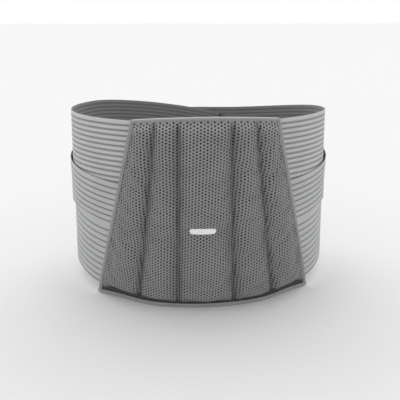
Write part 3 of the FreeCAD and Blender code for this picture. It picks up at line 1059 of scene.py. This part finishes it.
def lining_stitching():
    z = np.linspace(12 * MM, PAD_TALL - 12 * MM, 110)
    runs = []
    for stay in STAYS:
        middle = line_at(stay, z)
        for beside in (-SEWN_BESIDE, SEWN_BESIDE):
            runs.append(lining_path(middle + beside, z, 0.05 * MM))
    z = np.linspace(edge("left_seam_tape", LOW, 2) + 2 * MM, edge("left_seam_tape", HIGH, 2) - 2 * MM, 110)
    limit = pad_side(z)
    for side in (-1, 1):
        for into in (3.0 * MM, 17.7 * MM):
            runs.append(lining_path(side * (limit - into), z, 0.6 * MM))
    return stitching("lining_stitching", runs, "back_panel", "lining_cloth")


def casing(node, stay):
    """A soft sleeve round a stay: a flat woven tube, closed at both ends."""
    turn = np.linspace(0, 2 * math.pi, 28, endpoint=False)
    wide = np.sign(np.cos(turn)) * np.abs(np.cos(turn)) ** 0.35
    thick = np.sign(np.sin(turn)) * np.abs(np.sin(turn)) ** 0.7
    low_end, high_end = edge(node, LOW, 2), edge(node, HIGH, 2)
    up = np.linspace(0, 1, 70)
    tubes = []
    for inset, levels in ((0.0, up), (0.55 * MM, up[::-1])):
        z = (low_end + inset + (high_end - low_end - 2 * inset) * levels)[:, None] + 0 * turn
        near_end = np.minimum(levels, 1 - levels)[:, None] * (high_end - low_end)
        flat = 0.25 + 0.75 * smooth(near_end / (7 * MM))
        pucker = 1 + 0.03 * np.sin(levels * 95)[:, None]
        s = line_at(stay, z) + (9 * MM - inset) * wide * pucker
        tubes.append((s, z, 0.45 * MM + (1.75 * MM - inset) * thick * flat))
    s, z, out = (np.concatenate(values) for values in zip(*tubes))
    faces = grid_faces(len(s) + 1, len(turn), closed=True) % s.size
    piece = outward(build(
        node + "_sleeve", on_pad(s, z, out).reshape(-1, 3), faces.tolist(), ["casing"],
        np.stack([s, z], -1).reshape(-1, 2)))
    return bind_piece(piece, node)


# ---- closure -------------------------------------------------------------------------------

def end_grid(side, start, stop, margin, rows, columns):
    """Distances, angles and heights over the end of a wing, between the elastics' outer edges."""
    share = np.linspace(0, 1, columns)[None, :]
    down = np.linspace(0, 1, rows)[:, None]
    z = np.full((rows, columns), PAD_TALL / 2)
    for _ in range(5):
        arc = past(start, z) + (past(stop, z) - past(start, z)) * share
        t = angle_at(arc)
        high = upper_top(t, side) - margin
        z = high + (lower_top(t, side) - LOWER_TALL + margin - high) * down
    return arc, t, z


def end_layer(name, node, side, start, stop, margin, inner, outer, looks, body, fluff=0.0):
    """One cloth of the closure, with rounded edges and a dent along its sewn border."""
    rows, columns = 130, int(abs(stop - start) / MM) + 2
    arc, t, z = end_grid(side, start, stop, margin, rows, columns)
    across = np.minimum(np.arange(columns), np.arange(columns)[::-1])[None, :] * MM
    down = np.minimum(np.arange(rows), np.arange(rows)[::-1])[:, None] * 1.1 * MM
    border = np.minimum(across, down)
    face = outer - 0.3 * MM * (1 - smooth(border / (1.5 * MM)))
    face = face - 0.22 * MM * np.exp(-((border - 3.2 * MM) / (1.1 * MM)) ** 2)
    face = face + fluff * np.random.default_rng(11).uniform(-1, 1, face.shape) * smooth(border / (2 * MM))
    piece = outward(slab(
        name, place(side * t, z, face, side), place(side * t, z, inner + 0 * z, side), looks,
        np.stack([arc, z], -1)))
    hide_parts(node)
    if body:
        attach(piece, body)
    return piece


def border_path(side, start, stop, margin, face, rise):
    """Paths along the upper, lower and end borders of an end layer, for its stitches."""
    arc, t, z = end_grid(side, start, stop, margin, 60, 60)
    paths = []
    for ring in (np.s_[0, :], np.s_[-1, :], np.s_[:, -1], np.s_[:, 0]):
        near = place(side * t[ring], z[ring], face + rise, side)
        beyond = place(side * t[ring], z[ring], face + 5 * rise, side)
        paths.append((near, beyond - near))
    return paths


def end_fold(name, node, side, stop, cover, margin, inner, outer, look, body):
    """Tape folded over a free end, from the outer face round to the inner one."""
    wide, skin = cover, TAPE_THICK
    section = [
        (wide, outer + 0.1 * MM), (wide - 0.2 * MM, outer + skin), (0.6 * wide, outer + 0.75 * skin),
        (1.2 * MM, outer + skin), (0.3 * MM, outer - 0.1 * MM), (0.0, (inner + outer) / 2),
        (0.3 * MM, inner + 0.1 * MM), (1.2 * MM, inner - skin), (0.6 * wide, inner - 0.75 * skin),
        (wide - 0.2 * MM, inner - skin), (wide, inner - 0.1 * MM), (1.3 * MM, inner),
        (0.8 * MM, (inner + outer) / 2), (1.3 * MM, outer)]
    z = end_grid(side, stop - 2 * MM, stop, margin, 90, 3)[2][:, -1]
    rings = []
    for into, out in section:
        t = angle_at(past(stop, z) - into)
        rings.append(place(side * t, z, out + 0 * z, side))
    girth = np.cumsum([0] + [math.dist(a, b) for a, b in zip(section, section[1:])])
    layout = np.stack(np.broadcast_arrays(z[:, None], girth[None, :]), -1)
    return bind_piece(sweep(name, np.stack(rings, 1), [look], layout), node, body)


def hooks(side, start, stop, margin, face):
    """The hook tape's hooks: bent prongs in rows, opening up and down by turns."""
    rows, columns = 66, int((stop - start) / (2.0 * MM))
    arc, t, z = end_grid(side, start, stop, margin, rows, columns)
    root = place(side * t, z, face + 0 * z, side).reshape(-1, 3)
    into = place(side * t, z, face - MM + 0 * z, side).reshape(-1, 3) - root
    into /= np.linalg.norm(into, axis=1)[:, None]
    up = np.zeros_like(into)
    up[:, 2] = np.where(np.arange(rows) % 2 == 0, 1.0, -1.0).repeat(columns)
    aside = np.cross(up, into)
    quarter = math.pi / 4 + np.arange(4) * math.pi / 2
    points = []
    for deep, over, fat, bent in (
        (-0.15, 0.0, 0.26, 0), (0.22, 0.0, 0.2, 0), (0.45, 0.08, 0.17, 35), (0.58, 0.3, 0.15, 90),
        (0.44, 0.5, 0.09, 140),
    ):
        middle = root + MM * (deep * into + over * up)
        second = math.cos(math.radians(bent)) * up - math.sin(math.radians(bent)) * into
        for q in quarter:
            points.append(middle + fat * MM * (math.cos(q) * aside + math.sin(q) * second))
    points = np.stack(points, 1)
    one = grid_faces(5, 4, closed=True)
    caps = np.array([[0, 1, 2, 3], [19, 18, 17, 16]])
    faces = np.concatenate([one, caps])[None] + 20 * np.arange(len(root))[:, None, None]
    piece = outward(build(
        "hooks", points.reshape(-1, 3), faces.reshape(-1, 4).tolist(), ["hook"],
        points.reshape(-1, 3)[:, [0, 2]]))
    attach(piece, "closure_tab")


def closure():
    """Left wing's end with its loop pile, right wing's end, and the tab with its hooks."""
    root, margin = 62 * MM, 6 * MM
    panel, patch = 1.8 * MM, 3.0 * MM
    left_stop, right_stop, tab_stop = LEFT_END - 0.8 * MM, -TAB_START - 0.2 * MM, -TAB_END
    sewn = 0.15 * MM
    end_layer(
        "left_end_cloth", "left_end_panel", -1, -root, left_stop, 0.5 * MM, panel, panel + MM,
        ["panel"], "left_wing")
    end_layer(
        "loop_pile", "loop_patch", -1, margin - root, LEFT_END - 15 * MM, margin, patch, patch + 0.9 * MM,
        ["loop"], "left_wing", 0.16 * MM)
    end_fold(
        "left_end_tape", "left_end_binding", -1, LEFT_END, 3.2 * MM, 0.2 * MM, -1.65 * MM, 3.0 * MM,
        "end_tape", "left_wing")
    end_layer(
        "right_end_cloth", "right_end_panel", 1, -root, right_stop, 0.5 * MM, panel, panel + MM,
        ["panel"], "right_wing")
    tab = end_layer(
        "tab_cloth", "tab_backing", 1, -TAB_START - 2.2 * MM, tab_stop - 0.8 * MM, margin, -1.4 * MM, 0.0,
        ["panel"], None)
    # It is sewn to the wing's end; near and far are two points beside that seam.
    level = (edge("tab_backing", LOW, 2) + edge("tab_backing", HIGH, 2)) / 2
    near, far = (
        place(angle_at(past(-TAB_START + beyond, level)), level, 0.0, 1)
        for beyond in (-1.2 * MM, 3.5 * MM))
    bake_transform(tab)
    end_layer(
        "hook_base", "hook_strip", 1, -TAB_START + margin, tab_stop - 15 * MM, 2 * margin, -2.4 * MM,
        -1.5 * MM, ["hook"], "closure_tab")
    hooks(1, -TAB_START + margin + MM, tab_stop - 16 * MM, 2 * margin + MM, -2.4 * MM)
    end_fold(
        "tab_tape", "tab_binding", 1, tab_stop, 9 * MM, margin - 0.3 * MM, -1.6 * MM, 0.2 * MM,
        "tape", "closure_tab")
    stitching("left_end_stitching", border_path(
        -1, 4 * MM - root, left_stop - 4 * MM, 4 * MM, panel + 0.8 * MM, sewn) + border_path(
        -1, margin - root + 2 * MM, LEFT_END - 17 * MM, margin + 2.5 * MM, patch + 0.7 * MM, sewn),
        "left_wing", "panel_cloth")
    stitching("right_end_stitching", border_path(
        1, 4 * MM - root, right_stop - 4 * MM, 4 * MM, panel + 0.8 * MM, sewn),
        "right_wing", "panel_cloth")
    stitching("tab_stitching", border_path(
        1, -TAB_START + 4 * MM, tab_stop - 6 * MM, margin + 4 * MM, 0.0, sewn),
        "closure_tab", "panel_cloth")


# ---- camera, light and floor ---------------------------------------------------------------

def camera():
    """It stands in front of the pad, turned a little to one side, looking down."""
    back, up, aside = 0.745, 0.339, 0.0013
    down, turned = math.radians(18.1), math.radians(4.2)
    made = bpy.data.cameras.new("camera")
    made.lens, made.sensor_width = 50.0, 36.0
    made.clip_start, made.clip_end = 0.01, 50.0
    eye = bpy.data.objects.new("camera", made)
    eye.location = (
        aside * math.cos(turned) - back * math.sin(turned),
        -aside * math.sin(turned) - back * math.cos(turned), up)
    eye.rotation_euler = (math.pi / 2 - down, 0, -turned)
    bpy.context.scene.collection.objects.link(eye)
    bpy.context.scene.camera = eye


def around(nodes, behind, front, side, back):
    """A strength in front of the belt, beside it and behind it, with soft steps between."""
    return nodes.sum(
        "ADD", nodes.range(behind, front - side, 0.0, -0.75, -0.25, "SMOOTHSTEP"),
        nodes.range(behind, side, back, 0.25, 0.75, "SMOOTHSTEP"))


def sky(world):
    """A white horizon, with a ring of soft light above it that is brightest behind the belt."""
    nodes = Nodes(world.node_tree)
    parts = nodes.node("SeparateXYZ")
    nodes.join(nodes.node("TexCoord").outputs["Generated"], parts.inputs[0])
    side, back, up = parts.outputs
    level = nodes.sum("SQRT", nodes.sum("MULTIPLY_ADD", side, side, nodes.sum("MULTIPLY", back, back)))
    behind = nodes.sum("DIVIDE", back, nodes.sum("MAXIMUM", level, 0.001))
    horizon = nodes.range(up, 1.0, 0.75, 0.02, 0.07, "SMOOTHSTEP")
    rise = nodes.range(up, 0.0, 1.0, 0.22, 0.42, "SMOOTHSTEP")
    fall = nodes.range(up, 1.0, 0.0, 0.66, 0.84, "SMOOTHSTEP")
    low = nodes.sum("MULTIPLY", nodes.sum("SUBTRACT", 1.0, rise), horizon)
    ring = nodes.sum("MULTIPLY", nodes.sum("MULTIPLY", rise, fall), around(nodes, behind, 1.2, 1.35, 2.75))
    above = nodes.sum("MULTIPLY", nodes.sum("SUBTRACT", 1.0, fall), nodes.range(
        back, 0.25, 1.45, -0.25, 0.25, "SMOOTHSTEP"))
    total = nodes.sum("ADD", nodes.sum("ADD", low, above), ring)
    nodes.join(total, world.node_tree.nodes["Background"].inputs["Strength"])


def studio():
    scene = bpy.context.scene
    scene.view_settings.view_transform = "Standard"
    world = bpy.data.worlds.new("studio")
    world.use_nodes = True
    world.node_tree.nodes["Background"].inputs["Color"].default_value = (1, 1, 1, 1)
    sky(world)
    scene.world = world
    paper = Look("floor")
    tone = paper.range(paper.cloud(900.0, 1.0), 0.997, 1.003)
    paper.finish(paper.shade((0.74, 0.74, 0.74), tone), 0.9, specular=0.0)
    mesh = bpy.data.meshes.new("floor")
    far = 40.0
    mesh.from_pydata(
        [(-far, -far, 0), (far, -far, 0), (far, far, 0), (-far, far, 0)], [], [(0, 1, 2, 3)])
    mesh.materials.append(paper.material)
    floor = bpy.data.objects.new("floor", mesh)
    floor.location.z = -0.6 * MM
    scene.collection.objects.link(floor)


camera()
studio()
foam_pad()
mesh_cover()
bind_piece(side_tape("left_tape", -1), "left_binding")
bind_piece(side_tape("right_tape", 1), "right_binding")
bind_piece(end_tape("top_tape", True), "top_binding")
bind_piece(end_tape("bottom_tape", False), "bottom_binding")
pad_stitching()
badge()
for side, word in ((-1, "left"), (1, "right")):
    elastic("upper_%s_elastic" % word, side, True)
    elastic("lower_%s_elastic" % word, side, False)

lining()
seam_tape("left_seam_tape", -1)
seam_tape("right_seam_tape", 1)
lining_stitching()
for stay, place_name in zip(STAYS, ("left_outer", "left_inner", "right_inner", "right_outer")):
    casing(place_name + "_casing", stay)
closure()

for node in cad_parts:
    if node.endswith("_stay") or node == "stay_tips":
        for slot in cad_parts[node].material_slots:
            slot.material = LOOKS["tip" if node == "stay_tips" else "steel"]
